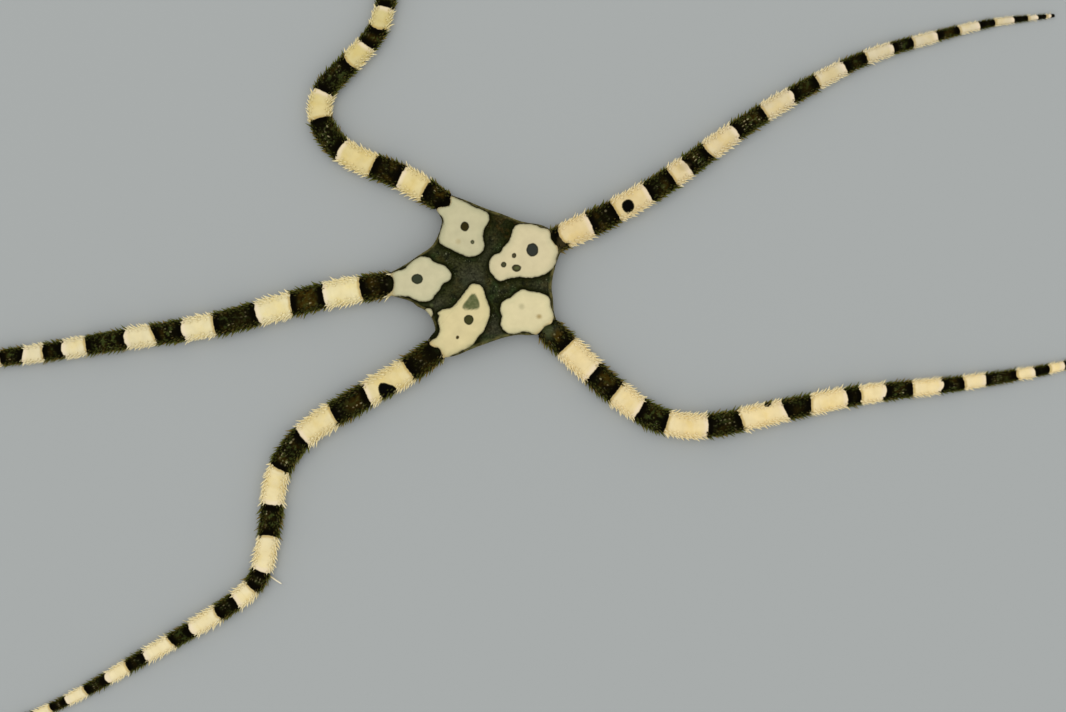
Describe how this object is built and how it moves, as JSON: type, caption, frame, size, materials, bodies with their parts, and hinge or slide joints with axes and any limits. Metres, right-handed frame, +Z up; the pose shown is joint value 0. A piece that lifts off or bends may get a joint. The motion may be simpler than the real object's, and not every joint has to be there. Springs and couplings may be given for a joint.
{
  "type": "brittle star",
  "caption": "Life-size still model of a black-and-cream banded brittle star, lying flat with its mouth beneath and its long spiny arms spread in loose curves.",
  "frame": {"origin": "on the floor, under the middle of the whole animal's bounding box", "axes": "+Z up, away from the floor, out of the animal's back; +X to the right and +Y to the top of the reference picture, which looks straight down; X is the longest extent"},
  "size_m": [0.2458, 0.1728, 0.0052],
  "materials": {
    "arm_skin": "fine-grained plates banded near-black and cream, satin when wet",
    "disc_skin": "finely granular skin, dark olive grey with cream patches, soft satin",
    "jaw_plate": "pale limy plates, satin"
  },
  "bodies": {
    "root": {"disc": "disc_skin", "jaw_1": "jaw_plate", "jaw_2": "jaw_plate", "jaw_3": "jaw_plate", "jaw_4": "jaw_plate", "jaw_5": "jaw_plate", "arm_a_1": "arm_skin", "arm_a_2": "arm_skin", "arm_a_3": "arm_skin", "arm_a_4": "arm_skin", "arm_a_5": "arm_skin", "arm_a_6": "arm_skin", "arm_b_1": "arm_skin", "arm_b_2": "arm_skin", "arm_b_3": "arm_skin", "arm_b_4": "arm_skin", "arm_b_5": "arm_skin", "arm_b_6": "arm_skin", "arm_c_1": "arm_skin", "arm_c_2": "arm_skin", "arm_c_3": "arm_skin", "arm_c_4": "arm_skin", "arm_c_5": "arm_skin", "arm_c_6": "arm_skin", "arm_c_7": "arm_skin", "arm_d_1": "arm_skin", "arm_d_2": "arm_skin", "arm_d_3": "arm_skin", "arm_d_4": "arm_skin", "arm_d_5": "arm_skin", "arm_d_6": "arm_skin", "arm_e_1": "arm_skin", "arm_e_2": "arm_skin", "arm_e_3": "arm_skin", "arm_e_4": "arm_skin", "arm_e_5": "arm_skin", "arm_e_6": "arm_skin", "arm_e_7": "arm_skin"}
  },
  "joints": []
}
